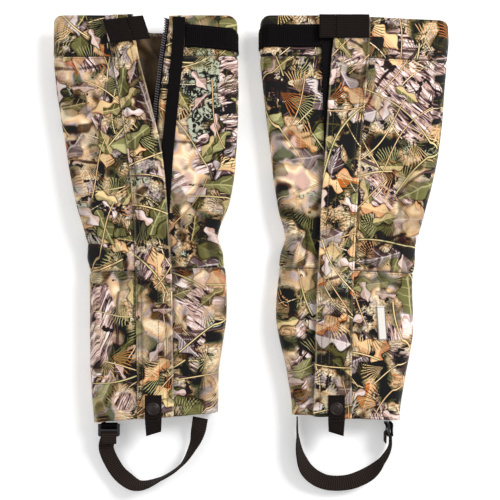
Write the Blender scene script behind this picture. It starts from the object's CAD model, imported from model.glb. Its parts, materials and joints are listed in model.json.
import json
import math
import bpy
import numpy as np
from mathutils import Matrix, Vector, noise

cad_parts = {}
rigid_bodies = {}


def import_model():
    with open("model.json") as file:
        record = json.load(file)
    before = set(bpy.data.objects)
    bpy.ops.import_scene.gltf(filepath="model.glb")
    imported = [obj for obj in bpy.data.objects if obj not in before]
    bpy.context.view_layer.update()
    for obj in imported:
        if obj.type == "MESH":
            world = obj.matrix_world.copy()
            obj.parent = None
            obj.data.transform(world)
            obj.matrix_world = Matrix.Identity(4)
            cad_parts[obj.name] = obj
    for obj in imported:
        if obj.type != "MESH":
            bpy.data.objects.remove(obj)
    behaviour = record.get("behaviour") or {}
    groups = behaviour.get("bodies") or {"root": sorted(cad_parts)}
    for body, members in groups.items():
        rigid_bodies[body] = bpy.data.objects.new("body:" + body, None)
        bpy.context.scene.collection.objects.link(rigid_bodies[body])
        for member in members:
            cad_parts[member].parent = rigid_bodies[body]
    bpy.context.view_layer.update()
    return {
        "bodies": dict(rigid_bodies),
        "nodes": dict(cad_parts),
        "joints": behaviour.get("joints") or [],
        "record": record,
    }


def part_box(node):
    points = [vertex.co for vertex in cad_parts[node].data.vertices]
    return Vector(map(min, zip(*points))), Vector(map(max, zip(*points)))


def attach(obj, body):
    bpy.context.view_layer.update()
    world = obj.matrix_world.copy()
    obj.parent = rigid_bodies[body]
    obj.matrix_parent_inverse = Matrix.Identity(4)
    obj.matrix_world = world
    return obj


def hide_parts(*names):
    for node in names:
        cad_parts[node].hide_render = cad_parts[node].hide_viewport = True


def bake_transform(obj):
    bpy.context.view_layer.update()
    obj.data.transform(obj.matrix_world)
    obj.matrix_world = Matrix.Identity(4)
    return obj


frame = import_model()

scene = bpy.context.scene
nodes = frame["nodes"]
print("frame loaded:", len(nodes), "nodes")


# shader expressions

def colour(red, green, blue):
    # a display colour, 0 to 255, as a linear colour
    def linear(value):
        value = value / 255
        return value / 12.92 if value <= 0.04045 else ((value + 0.055) / 1.055) ** 2.4
    return (linear(red), linear(green), linear(blue), 1.0)


def toned(base, factor):
    # a colour made darker or lighter
    return tuple(min(1.0, value * factor) for value in base[:3]) + (1.0,)


class Socket:
    # one value in a shader, with arithmetic that adds Math nodes
    def __init__(self, tree, socket):
        self.tree = tree
        self.socket = socket

    def math(self, operation, *others):
        return self.tree.node("ShaderNodeMath", {"operation": operation}, dict(enumerate((self, *others))))

    def __add__(self, other):
        return self.math("ADD", other)

    def __sub__(self, other):
        return self.math("SUBTRACT", other)

    def __rsub__(self, other):
        return self.tree.number("SUBTRACT", other, self)

    def __mul__(self, other):
        return self.math("MULTIPLY", other)

    def __truediv__(self, other):
        return self.math("DIVIDE", other)

    def __rtruediv__(self, other):
        return self.tree.number("DIVIDE", other, self)

    __radd__ = __add__
    __rmul__ = __mul__


class Shader:
    # a material and its node tree
    def __init__(self, name):
        self.material = bpy.data.materials.new(name)
        self.material.use_nodes = True
        self.nodes = self.material.node_tree.nodes
        self.links = self.material.node_tree.links
        self.surface = self.nodes["Principled BSDF"]

    def node(self, kind, settings=None, inputs=None, output=0):
        made = self.nodes.new(kind)
        for key, value in (settings or {}).items():
            if key == "stops":
                ramp = made.color_ramp
                while len(ramp.elements) < len(value):
                    ramp.elements.new(0.5)
                for element, (place, shade) in zip(ramp.elements, value):
                    element.position = place
                    element.color = shade
            elif key == "interpolation" and kind == "ShaderNodeValToRGB":
                made.color_ramp.interpolation = value
            else:
                setattr(made, key, value)
        for key, value in (inputs or {}).items():
            target = made.inputs[key]
            if isinstance(value, Socket):
                self.links.new(value.socket, target)
            else:
                target.default_value = value
        return Socket(self, made.outputs[output])

    def more(self, socket, output):
        # another output of the node that a socket comes from
        return Socket(self, socket.socket.node.outputs[output])

    def number(self, operation, *values):
        return self.node("ShaderNodeMath", {"operation": operation}, dict(enumerate(values)))

    def vector(self, operation, *values):
        return self.node("ShaderNodeVectorMath", {"operation": operation}, dict(enumerate(values)))

    def scaled(self, vector, factor):
        return self.node("ShaderNodeVectorMath", {"operation": "SCALE"}, {0: vector, "Scale": factor})

    def split(self, vector):
        # a vector's x and y
        parts = self.node("ShaderNodeSeparateXYZ", {}, {0: vector})
        return parts, self.more(parts, 1)

    def channels(self, shade):
        # a colour's red, green and blue
        parts = self.node("ShaderNodeSeparateColor", {}, {0: shade})
        return parts, self.more(parts, 1), self.more(parts, 2)

    def thread(self, place, pitch):
        # one wave for each thread that lies side by side
        return (place * (2 * math.pi / pitch)).math("SINE")

    def mix(self, factor, first, second):
        return self.node("ShaderNodeMix", {"data_type": "RGBA"}, {0: factor, 6: first, 7: second}, 2)

    def step(self, value, low, high):
        # 0 below low, 1 above high, smooth between
        return self.node("ShaderNodeMapRange", {"interpolation_type": "SMOOTHSTEP"},
                         {0: value, 1: low, 2: high, 3: 0.0, 4: 1.0})

    def ramp(self, value, stops, interpolation="LINEAR"):
        return self.node("ShaderNodeValToRGB", {"stops": stops, "interpolation": interpolation}, {0: value})

    def noise(self, place, scale, detail=3.0, rough=0.55, distortion=0.0):
        return self.node("ShaderNodeTexNoise", {"noise_dimensions": "2D"},
                         {"Vector": place, "Scale": scale, "Detail": detail, "Roughness": rough,
                          "Distortion": distortion})

    def uv(self, name):
        return self.node("ShaderNodeUVMap", {"uv_map": name})

    def bump(self, height, strength, distance):
        return self.node("ShaderNodeBump", {}, {"Strength": strength, "Distance": distance, "Height": height})

    def finish(self, shade=None, rough=None, normal=None, **constants):
        if isinstance(shade, Socket):
            self.links.new(shade.socket, self.surface.inputs["Base Color"])
        elif shade:
            self.surface.inputs["Base Color"].default_value = shade
        if isinstance(rough, Socket):
            self.links.new(rough.socket, self.surface.inputs["Roughness"])
        elif rough is not None:
            self.surface.inputs["Roughness"].default_value = rough
        if normal:
            self.links.new(normal.socket, self.surface.inputs["Normal"])
        for key, value in constants.items():
            self.surface.inputs[key].default_value = value
        return self.material


# the printed fabric

printColours = {
    "cream": colour(242, 222, 188),
    "tan": colour(218, 178, 138),
    "pink": colour(206, 172, 158),
    "olive": colour(100, 96, 72),
    "moss": colour(56, 55, 44),
    "leaf": colour(122, 120, 86),
    "leafLight": colour(196, 190, 140),
    "lichen": colour(176, 180, 160),
    "rust": colour(176, 92, 48),
    "straw": colour(234, 206, 156),
    "bark": colour(124, 104, 106),
    "barkLight": colour(232, 220, 216),
    "lilac": colour(188, 170, 168),
    "haze": colour(108, 108, 90),
    "shade": colour(46, 30, 26),
    "ink": colour(20, 12, 10),
}


class Stamp:
    # one motif repeated in scattered cells, each turned and shaded by its own random numbers
    def __init__(self, shader, place, size, shift):
        moved = shader.vector("ADD", place, (shift, shift * 0.37, 0.0))
        scaled = shader.scaled(moved, 1 / size)
        cell = shader.node("ShaderNodeTexVoronoi", {"voronoi_dimensions": "2D", "feature": "F1"},
                           {"Vector": scaled, "Scale": 1.0, "Randomness": 0.8}, "Color")
        centre = shader.more(cell, "Position")
        offset = shader.vector("SUBTRACT", scaled, centre)
        x, y = shader.split(offset)
        self.first, self.second, self.third = shader.channels(cell)
        angle = self.first * (2 * math.pi)
        cosine, sine = angle.math("COSINE"), angle.math("SINE")
        self.along = x * cosine + y * sine
        self.across = y * cosine - x * sine
        self.aside = self.across.math("ABSOLUTE")

    def present(self, share):
        return self.third.math("LESS_THAN", share)


def leafMask(stamp, length, width, lobes, depth):
    # how far inside a lobed leaf a point lies, above 0 inside
    share = stamp.along / length
    outline = (1.0 - share * share).math("MAXIMUM", 0.0).math("SQRT")
    wave = (share * lobes + stamp.second * 3.0).math("COSINE") * depth + (1.0 - depth)
    return outline * wave * width - stamp.aside


def leafShade(shader, stamp, inside, dark, mid, light, veins):
    # a leaf's colour: two toned halves, side veins and a darker rim
    half = shader.step(stamp.across, -0.05, 0.05)
    tone = stamp.second * 0.65 + half * 0.35
    base = shader.ramp(tone, [(0.0, dark), (0.5, mid), (1.0, light)])
    rib = shader.step(stamp.aside, 0.022, 0.006)
    side = ((stamp.along + stamp.aside * 0.8) * veins).math("SINE")
    vein = shader.step(side, 0.82, 0.98) * 0.55
    veined = shader.mix((rib + vein).math("MINIMUM", 1.0) * 0.7, base, light)
    rim = shader.step(inside, 0.05, 0.0)
    return shader.mix(rim * 0.6, veined, dark)


def makePrintedFabric():
    shader = Shader("printedFabric")
    paint = printColours
    place = shader.uv("print")
    zone = shader.node("ShaderNodeAttribute", {"attribute_name": "zone"}, {}, "Color")
    openness, barkness, darkness = shader.channels(zone)
    lichenness = shader.more(zone, "Alpha")

    # the motifs' edges wander a few millimetres
    wander = shader.more(shader.noise(place, 26, 2.0), "Color")
    shifted = shader.vector("SUBTRACT", wander, (0.5, 0.5, 0.5))
    bent = shader.vector("ADD", place, shader.scaled(shifted, 0.006))

    # out-of-focus ground
    def painted(value, *stops):
        return shader.ramp(value, [(stop, paint[name]) for stop, name in stops])

    groundShade = painted(shader.noise(place, 30, 1.5, 0.4), (0.30, "shade"), (0.39, "moss"), (0.45, "haze"),
                          (0.51, "tan"), (0.60, "cream"), (0.70, "lilac"))
    openTint = painted(shader.noise(place, 40, 1.0, 0.3), (0.34, "haze"), (0.41, "lilac"), (0.49, "tan"),
                       (0.57, "cream"), (0.68, "pink"))
    openness = (openness + shader.step(shader.noise(place, 13, 1.0), 0.52, 0.62) * 0.7).math("MINIMUM", 1.0)
    picture = shader.mix(openness, groundShade, openTint)
    blot = shader.step(shader.noise(place, 55, 1.0, 0.3), 0.56, 0.72)
    picture = shader.mix(blot * 0.85, picture, paint["shade"])
    grain = shader.step(shader.noise(bent, 420, 4.0, 0.7), 0.38, 0.62)
    picture = shader.mix((1.0 - openness) * grain * 0.7, picture, paint["moss"])

    # lichen, lacy and pale
    lace = shader.step(shader.noise(bent, 170, 4.0, 0.65, 1.2), 0.47, 0.53)
    lichenPatch = shader.step(shader.noise(place, 24, 2.0) + lichenness * 0.4, 0.66, 0.74)
    picture = shader.mix(lichenPatch, picture, shader.mix(lace, paint["shade"], paint["lichen"]))

    # bark, streaked along its own direction
    barkPlace = shader.node("ShaderNodeMapping", {}, {0: bent, "Rotation": (0, 0, 0.5), "Scale": (6.0, 1.0, 1.0)})
    barkShade = painted(shader.noise(barkPlace, 42, 5.0, 0.66, 0.8), (0.38, "ink"), (0.45, "bark"), (0.53, "pink"),
                        (0.60, "barkLight"))
    barkPatch = shader.step(shader.noise(place, 18, 2.0) + barkness * 0.5, 0.64, 0.70)
    picture = shader.mix(barkPatch, picture, barkShade)

    def lay(below, mask, shade, shadow):
        # a motif over its own shadow
        under = shader.mix(shadow * 0.9, below, paint["ink"])
        return shader.mix(mask, under, shade)

    # deep shade between the leaves
    deep = shader.step(shader.noise(bent, 75, 4.0, 0.6) + darkness * 0.16 - openness * 0.14, 0.55, 0.60)
    picture = shader.mix(deep * 0.92, picture, paint["ink"])

    # blades and twigs: long thin strokes, each over its own shadow
    def strokes(below, size, shift, thick, share, dark, light):
        stroke = Stamp(shader, place, size, shift)
        bow = (stroke.along * 2.6 + stroke.second * 6.0).math("SINE") * 0.13
        line = (stroke.across + bow).math("ABSOLUTE")
        there = stroke.present(share) * (1.0 - openness * 0.5)
        body = shader.step(line, thick, thick * 0.6) * there
        shadow = shader.step(line, thick * 2.4, thick) * there
        return lay(below, body, shader.mix(stroke.second, paint[dark], paint[light]), shadow)

    picture = strokes(picture, 0.060, 3.1, 0.018, 0.7, "shade", "bark")
    picture = strokes(picture, 0.050, 7.7, 0.012, 0.7, "straw", "cream")

    def leaves(below, kinds, length, width, lobes, depth, fade, veins, shadow):
        # each kind is a size, a shift, a share of the cells and three colours
        for size, shift, share, dark, mid, light in kinds:
            leaf = Stamp(shader, bent, size, shift)
            inside = leafMask(leaf, length, width, lobes, depth)
            there = leaf.present(share) * (1.0 - openness * fade)
            shade = leafShade(shader, leaf, inside, paint[dark], paint[mid], paint[light], veins)
            below = lay(below, shader.step(inside, 0.0, 0.012) * there, shade,
                        shader.step(inside, -shadow, 0.02) * there)
        return below

    # large lobed leaves
    picture = leaves(picture, [
        (0.066, 1.3, 0.40, "ink", "moss", "olive"), (0.052, 5.9, 0.34, "shade", "bark", "barkLight"),
        (0.056, 9.2, 0.36, "moss", "olive", "leaf"), (0.044, 17.2, 0.30, "rust", "tan", "straw"),
    ], 0.46, 0.25, 6.5, 0.34, 0.6, 34.0, 0.06)

    # needle fans, spread from one point
    ragged = shader.noise(place, 130, 2.0) * 5.0
    for size, shift, share, count, dark, light in (
        (0.036, 2.2, 0.55, 52.0, "moss", "leafLight"),
        (0.030, 6.4, 0.55, 40.0, "ink", "shade"),
        (0.033, 8.8, 0.34, 44.0, "straw", "rust"),
        (0.028, 19.1, 0.40, 36.0, "ink", "olive"),
    ):
        fan = Stamp(shader, bent, size, shift)
        reach = fan.along + 0.42
        angle = fan.across.math("ARCTAN2", reach)
        lines = (angle * count + reach * 3.0 + ragged).math("SINE")
        spread = shader.step(angle.math("ABSOLUTE"), 0.62, 0.5) * shader.step(reach, 0.86, 0.7)
        needles = shader.step(lines, 0.45, 0.85) * spread * fan.present(share) * (1.0 - openness * 0.8)
        picture = shader.mix(needles, picture, shader.mix(fan.second, paint[dark], paint[light]))

    # bright leaves on top
    picture = leaves(picture, [
        (0.048, 4.4, 0.24, "olive", "leaf", "leafLight"), (0.032, 11.5, 0.20, "moss", "leaf", "straw"),
        (0.028, 13.1, 0.14, "shade", "pink", "barkLight"),
    ], 0.45, 0.22, 5.5, 0.30, 0.5, 30.0, 0.07)

    picture = strokes(picture, 0.085, 15.0, 0.010, 0.85, "straw", "leafLight")
    picture = strokes(picture, 0.070, 21.3, 0.009, 0.6, "straw", "tan")
    picture = shader.node("ShaderNodeBrightContrast", {}, {0: picture, "Bright": 0.065, "Contrast": 0.25})

    # creases gather shade, turned edges catch the light
    wear = shader.node("ShaderNodeAttribute", {"attribute_name": "wear"}, {}, "Color")
    crease, edge, _ = shader.channels(wear)
    picture = shader.mix(crease * 0.8, picture, shader.mix(0.75, picture, paint["ink"]))
    picture = shader.mix(edge * 0.5, picture, paint["cream"])

    # cloth: a brushed plain weave
    across, along = shader.split(place)
    weave = shader.thread(across, 0.0007) * shader.thread(along, 0.0007)
    nap = shader.noise(place, 900, 3.0, 0.6)
    height = weave * 0.5 + nap
    rough = shader.step(nap, 0.2, 0.8) * 0.16 + 0.74
    return shader.finish(picture, rough, shader.bump(height, 0.25, 0.0004),
                         **{"Specular IOR Level": 0.25, "Sheen Weight": 0.15, "Sheen Roughness": 0.5})


def makeWebbing(name, base, pitch, strength):
    # ribbed webbing: ribs across its length, with fine yarns in each rib
    shader = Shader(name)
    place = shader.uv("weave")
    across, along = shader.split(place)
    rib = shader.thread(along, pitch)
    yarn = (across * (2 * math.pi / (pitch * 0.8)) + along * (math.pi / pitch)).math("SINE")
    fuzz = shader.noise(place, 1400, 3.0, 0.7)
    height = rib * 0.6 + yarn * 0.4 + fuzz * 0.6
    shade = shader.mix(shader.step(height, -0.6, 1.4), toned(base, 0.45), toned(base, 1.9))
    return shader.finish(shade, fuzz * 0.15 + 0.72, shader.bump(height, strength, 0.0003),
                         **{"Specular IOR Level": 0.1})


def makePile(name, base, scale):
    # hook-and-loop tape: a short tangled pile
    shader = Shader(name)
    place = shader.uv("weave")
    loops = shader.node("ShaderNodeTexVoronoi", {"voronoi_dimensions": "2D", "feature": "F1"},
                        {"Vector": place, "Scale": scale}, "Distance")
    fuzz = shader.noise(place, scale * 1.7, 4.0, 0.75)
    height = fuzz - loops * 0.5
    shade = shader.mix(shader.step(height, 0.05, 0.6), toned(base, 0.4), toned(base, 2.0))
    return shader.finish(shade, fuzz * 0.15 + 0.75, shader.bump(height, 0.6, 0.0006),
                         **{"Specular IOR Level": 0.08})


def makeLining():
    shader = Shader("liningTaffeta")
    place = shader.uv("print")
    across, along = shader.split(place)
    weave = shader.thread(across, 0.0006) * shader.thread(along, 0.0006)
    blotch = shader.noise(place, 60, 3.0)
    shade = shader.ramp(blotch, [(0.3, colour(60, 42, 22)), (0.7, colour(98, 74, 44))])
    return shader.finish(shade, blotch * 0.2 + 0.5, shader.bump(weave, 0.2, 0.0003),
                         **{"Specular IOR Level": 0.4})


def makeMetal(name, base, rough):
    shader = Shader(name)
    place = shader.node("ShaderNodeTexCoord", {}, {}, "Object")
    scuffs = shader.node("ShaderNodeTexNoise", {}, {"Vector": place, "Scale": 900.0, "Detail": 4.0})
    shade = shader.mix(shader.step(scuffs, 0.58, 0.75) * 0.6, base, toned(base, 2.4))
    return shader.finish(shade, scuffs * 0.25 + rough, shader.bump(scuffs, 0.12, 0.0002), Metallic=0.9)


def makePlastic(name, base, rough):
    shader = Shader(name)
    place = shader.node("ShaderNodeTexCoord", {}, {}, "Object")
    grain = shader.node("ShaderNodeTexNoise", {}, {"Vector": place, "Scale": 1600.0, "Detail": 3.0})
    patch = shader.node("ShaderNodeTexNoise", {}, {"Vector": place, "Scale": 160.0, "Detail": 2.0})
    shade = shader.mix(shader.step(patch, 0.4, 0.7) * 0.5, base, toned(base, 1.8))
    return shader.finish(shade, grain * 0.2 + rough, shader.bump(grain, 0.15, 0.0002))


def makeLabel():
    # plain woven satin with a thin border line, no lettering
    shader = Shader("wovenLabel")
    place = shader.uv("weave")
    across, along = shader.split(place)
    rib = shader.thread(along, 0.0006)
    fuzz = shader.noise(place, 700, 3.0)
    shade = shader.mix(shader.step(fuzz, 0.3, 0.8) * 0.5, colour(238, 234, 226), colour(214, 208, 200))
    edge = (across - 0.005).math("ABSOLUTE")
    line = shader.step(edge, 0.0036, 0.0038) * shader.step(edge, 0.0043, 0.0041)
    return shader.finish(shader.mix(line, shade, colour(120, 112, 112)), 0.6,
                         shader.bump(rib + fuzz, 0.25, 0.0002), **{"Sheen Weight": 0.2})


materials = {
    "camo_fabric": makePrintedFabric(),
    "lining_fabric": makeLining(),
    "black_webbing": makeWebbing("blackWebbing", colour(5, 3, 3), 0.0021, 0.9),
    "elastic": makeWebbing("knitElastic", colour(30, 28, 30), 0.0011, 0.5),
    "hook_and_loop": makePile("hookAndLoop", colour(13, 10, 11), 1500.0),
    "zip_tape": makeWebbing("zipTapeWeave", colour(22, 20, 24), 0.0009, 0.4),
    "zip_coil": makePlastic("coilNylon", colour(92, 88, 94), 0.3),
    "dark_metal": makeMetal("gunmetal", colour(60, 53, 51), 0.32),
    "black_plastic": makePlastic("blackAcetal", colour(22, 22, 24), 0.3),
    "label": makeLabel(),
}
tanThread = makeWebbing("sewingThread", colour(104, 92, 66), 0.0006, 0.4)
darkThread = makeWebbing("darkThread", colour(26, 22, 24), 0.0006, 0.4)
tabWebbing = makeWebbing("tabWebbing", colour(24, 18, 15), 0.0019, 0.9)
strapWebbing = makeWebbing("strapWebbing", colour(38, 30, 26), 0.0024, 1.0)
print("materials ready")


# the garment's lie, read from the frame

cut = {"lower": 163.0, "elastic": 32.0, "upper": 203.0, "cuff": 45.0, "backDip": 18.0, "lift": 1.9}
front = 24.0
clothThickness = 1.1
frontGap = 5.0  # from the coil to a panel's folded edge
labelCalm = {"x": -44, "h": 104, "halfWidth": 11, "halfLength": 24}  # the cloth lies still under the label
folds = {"broad": 1.3, "small": 0.55, "gather": 2.4, "gatherRise": 0.9, "crease": 4.0, "tail": 1.4, "pleat": 2.8,
         "seamDip": 1.4, "seamWidth": 1.9, "pucker": 0.7, "puckerWidth": 7.0, "hem": 1.3, "elastic": 15.0}
up = Vector((0, 0, 1))
ankleLow = cut["lower"]
ankleHigh = ankleLow + cut["elastic"]
cuffSeam = ankleHigh + cut["upper"]
cuffTop = cuffSeam + cut["cuff"]
lies = {
    "left": {"hem": (-5.0, 5.0), "top": (0.0, 0.0), "peel": 2.5, "seed": 3.0},
    "right": {"hem": (-3.0, 4.0), "top": (-6.0, 0.0), "peel": 0.0, "seed": 11.0},
}


def smoothstep(value, low, high):
    share = min(1.0, max(0.0, (value - low) / (high - low)))
    return share * share * (3 - 2 * share)


def nodeArrays(name):
    mesh = nodes[name].data
    points = np.empty(len(mesh.vertices) * 3)
    mesh.vertices.foreach_get("co", points)
    edges = np.empty(len(mesh.edges) * 2, dtype=np.int64)
    mesh.edges.foreach_get("vertices", edges)
    return points.reshape(-1, 3) * 1000, edges.reshape(-1, 2)


class Gaiter:
    # one gaiter in millimetres: x from the closed zip with the outer side at -x, h up from the hem
    def __init__(self, side):
        self.side = side
        self.mirror = 1 if side == "left" else -1
        low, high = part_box(f"{side}_zip_bottom_stop")
        self.zipX = (low.x + high.x) * 500
        self.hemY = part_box(f"{side}_hook_tab")[1].y * 1000 + 1.0
        self.lie = lies[side]
        self.seed = self.lie["seed"]
        shell = [f"{side}_{name}" for name in ("lower_panel_outer", "lower_panel_inner", "upper_panel_outer",
                                               "upper_panel_inner", "cuff_band")]
        self.outerEdge = self.line(shell, 0, smooth=5)
        self.innerEdge = self.line(shell, 1, smooth=5)
        self.flapSewn = self.line([f"{side}_storm_flap"], 0, smooth=5)
        self.flapFree = self.line([f"{side}_storm_flap"], 1, smooth=5)
        self.stripLeft = self.line([f"{side}_loop_strip"], 0)
        self.stripRight = self.line([f"{side}_loop_strip"], 1)
        self.coilOuter = self.line([f"{side}_zip_coil_outer"], 1)
        self.coilInner = self.line([f"{side}_zip_coil_inner"], 0)

    def body(self, name="gaiter"):
        return f"{self.side}_{name}"

    def line(self, names, which, smooth=3):
        # a smooth edge of the named nodes, as a function of height
        heights = np.linspace(0, cuffTop, 149)
        arrays = [nodeArrays(name) for name in names]
        found = []
        for height in heights:
            y = self.hemY + height
            xs = []
            for points, edges in arrays:
                a, b = points[edges[:, 0]], points[edges[:, 1]]
                crossing = (a[:, 1] - y) * (b[:, 1] - y) < 0
                a, b = a[crossing], b[crossing]
                if len(a):
                    share = (y - a[:, 1]) / (b[:, 1] - a[:, 1])
                    xs.extend(((a[:, 0] + share * (b[:, 0] - a[:, 0])) - self.zipX) * self.mirror)
            found.append((min(xs), max(xs))[which] if xs else np.nan)
        found = np.array(found)
        good = ~np.isnan(found)
        good[heights < 8] = False
        good[heights > cuffTop - 9] = False
        found = np.interp(heights, heights[good], found[good])
        kernel = np.ones(smooth) / smooth
        padded = np.pad(found, smooth, mode="edge")
        found = np.convolve(padded, kernel, mode="same")[smooth:-smooth]
        return lambda height: float(np.interp(height, heights, found))

    def edge(self, sign, h):
        return self.outerEdge(h) if sign < 0 else self.innerEdge(h)

    def frontLine(self, sign, h):
        # a panel's folded edge beside the zip, closed up below it
        above = smoothstep(h, 19, 29)
        line = self.coilOuter(max(h, 30)) + 0.6 if sign < 0 else self.coilInner(max(h, 30)) - 0.6
        return line * above + sign * (0.25 + (frontGap - 0.25) * above)

    def world(self, x, h, z):
        return Vector((self.zipX + self.mirror * x, self.hemY + h, z)) / 1000

    def place(self, x, h, z):
        share = min(1.0, x / self.edge(x, h))
        which = 0 if x < 0 else 1
        up = h / cuffTop
        dip = cut["backDip"] * max(0.0, 1 - z / front) * max(0.0, (h - cuffSeam) / cut["cuff"])
        dip -= self.hemWave(x, h)
        lean = share * (self.lie["hem"][which] * (1 - up) + self.lie["top"][which] * up)
        return self.world(x, h + lean - dip, z)

    def hemWave(self, x, h):
        return 2.2 * math.exp(-max(0.0, h) / 10) * self.wave(x * 0.045, 3.0, 19)

    def underside(self, h):
        return cut["lift"] * smoothstep(h, cuffSeam - 25, cuffSeam - 12.5)

    def wave(self, a, b, c=0.0):
        return noise.noise((a, b, self.seed + c))

    def relief(self, q, h):
        # how far the cloth stands off its plain section; q runs round the section from the side edge
        broad = folds["broad"] * self.wave(q * 0.018, h * 0.011)
        small = folds["small"] * self.wave(q * 0.05, h * 0.035, 4)
        middle = (ankleLow + ankleHigh) / 2
        away = (h - middle) / folds["elastic"]
        tail = math.exp(-abs(h - middle) / 34)
        drift = 0.6 * self.wave(q * 0.02, h * 0.03, 9)
        crease = max(0.0, 1 - 8.0 * abs(self.wave(q * 0.075 + drift, h * 0.006, 2)))
        fold = self.wave(q * 0.12 + drift, h * 0.010, 6)
        pleat = max(0.0, 1 - 7.0 * abs(self.wave(q * 0.05 + drift, h * 0.005, 7)))
        gather = math.exp(-away * away) * (folds["gather"] * fold + folds["gatherRise"] - folds["crease"] * crease)
        gather += tail * (folds["tail"] * fold - folds["pleat"] * pleat * (1 - math.exp(-away * away)))
        seams = 0.0
        for seam in (ankleLow, ankleHigh, cuffSeam):
            gap = (h - seam) / folds["seamWidth"]
            near = (h - seam) / folds["puckerWidth"]
            pucker = self.wave(q * 0.30, seam, 13)
            seams += -folds["seamDip"] * math.exp(-gap * gap) + folds["pucker"] * pucker * math.exp(-near * near)
        hem = folds["hem"] * math.exp(-h / 16) * self.wave(q * 0.09, h * 0.02, 17)
        return broad + small + gather + seams + hem

    def wearAt(self, x, h):
        # how far a point lies in a crease or under an edge, from 0 to 1
        q = self.sideDistance(x, h)
        here = self.relief(q, h)
        around = (self.relief(q - 3, h) + self.relief(q + 3, h)) / 2
        hollow = min(1.0, max(0.0, (around - here) / 1.1))
        beyond, before = x - self.flapFree(h), self.flapSewn(h) - x
        under = 0.95 * math.exp(-beyond / 2.4) if beyond > 0 else 0.0
        under = max(under, 0.9 * math.exp(-before / 1.6) if before > 0 else 0.0)
        return min(1.0, 0.9 * hollow + under)

    def sideDistance(self, x, h):
        return abs(self.edge(x, h) - x)

    def covered(self, x, h):
        # 1 where the flap, the strips or the zip lie on the front
        low = self.flapSewn(h) - 4
        high = max(self.flapFree(h), self.stripRight(h)) + 3
        return smoothstep(x, low - 8, low) * (1 - smoothstep(x, high, high + 10))

    def frontRise(self, x, h):
        # the cloth's rise above the plain front
        q = self.sideDistance(x, h)
        rise = self.relief(q, h)
        cover = self.covered(x, h)
        if self.side == "right":
            calm = ((x - labelCalm["x"]) / labelCalm["halfWidth"]) ** 4
            calm += ((h - labelCalm["h"]) / labelCalm["halfLength"]) ** 4
            cover = max(cover, math.exp(-calm))
        held = min(rise, 0.0) * 0.25 - 0.15
        return (1 - cover) * min(rise, 3.5) + cover * held

    def frontZ(self, x, h):
        return front + self.frontRise(x, h)

    def halfRow(self, sign, h, frontX, depth, steps, backX=0.0):
        # from the front edge round one side to the back seam; returns points and distances along the row
        low = self.underside(h)
        radius = (front - low) / 2
        edge = self.edge(sign, h)
        centre = edge - sign * radius
        points, q = [], []
        frontSteps, arcSteps, backSteps = steps
        for i in range(frontSteps):
            x = frontX + (centre - frontX) * i / frontSteps
            fold = 0.5 * math.exp(-abs(x - frontX) / 0.7)
            points.append((x, front - depth + self.frontRise(x, h) - fold))
            q.append(abs(edge - x))
        for i in range(arcSteps + 1):
            angle = math.pi / 2 - math.pi * i / arcSteps
            signed = radius * math.sin(angle)
            here = self.relief(signed, h)
            rise = self.frontRise(centre, h)
            share = smoothstep(-math.sin(angle), -1.0, 1.0)
            push = rise * (1 - share) - self.backRise(signed, h) * share
            side = math.cos(angle) * (min(max(here, -2.5), 2.2) - push * 0.6)
            reach = radius - depth + push
            points.append((centre + sign * ((radius - depth + side) * math.cos(angle)),
                           low + radius + reach * math.sin(angle)))
            q.append(signed)
        for i in range(1, backSteps + 1):
            x = centre + (backX - centre) * i / backSteps
            dent = 0.8 * math.exp(-(x / 2.2) ** 2)
            points.append((x, low + depth + self.backRise(-abs(edge - x), h) + dent))
            q.append(-abs(edge - x))
        return [self.place(x, h, z) for x, z in points], q

    def backRise(self, q, h):
        return min(3.0, max(0.0, 0.9 + 0.75 * self.relief(q, h)))


def shadeSmooth(mesh):
    mesh.polygons.foreach_set("use_smooth", [True] * len(mesh.polygons))


def makeObject(name, points, faces, uvs=None, uvName="print"):
    mesh = bpy.data.meshes.new(name)
    mesh.from_pydata([tuple(point) for point in points], [], faces)
    if uvs is not None:
        layer = mesh.uv_layers.new(name=uvName)
        corners = np.empty(len(mesh.loops), dtype=np.int64)
        mesh.loops.foreach_get("vertex_index", corners)
        layer.data.foreach_set("uv", np.array(uvs, dtype=np.float32)[corners].ravel())
    piece = bpy.data.objects.new(name, mesh)
    scene.collection.objects.link(piece)
    shadeSmooth(mesh)
    return piece


def selectOnly(piece):
    bpy.ops.object.select_all(action="DESELECT")
    piece.select_set(True)
    bpy.context.view_layer.objects.active = piece


def applyModifier(piece, kind, **settings):
    selectOnly(piece)
    modifier = piece.modifiers.new(kind, kind)
    for key, value in settings.items():
        setattr(modifier, key, value)
    bpy.ops.object.modifier_apply(modifier=modifier.name)


def gridFaces(rows, columns, flipped):
    faces = []
    for r in range(rows - 1):
        for c in range(columns - 1):
            a = r * columns + c
            quad = (a, a + 1, a + columns + 1, a + columns)
            faces.append(quad[::-1] if flipped else quad)
    return faces


def paintPoints(piece, name, rows):
    # a colour for each point of a sheet
    attribute = piece.data.color_attributes.new(name, "FLOAT_COLOR", "POINT")
    flat = np.array([shade for row in rows for shade in row], dtype=np.float32)
    attribute.data.foreach_set("color", flat.ravel())


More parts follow.
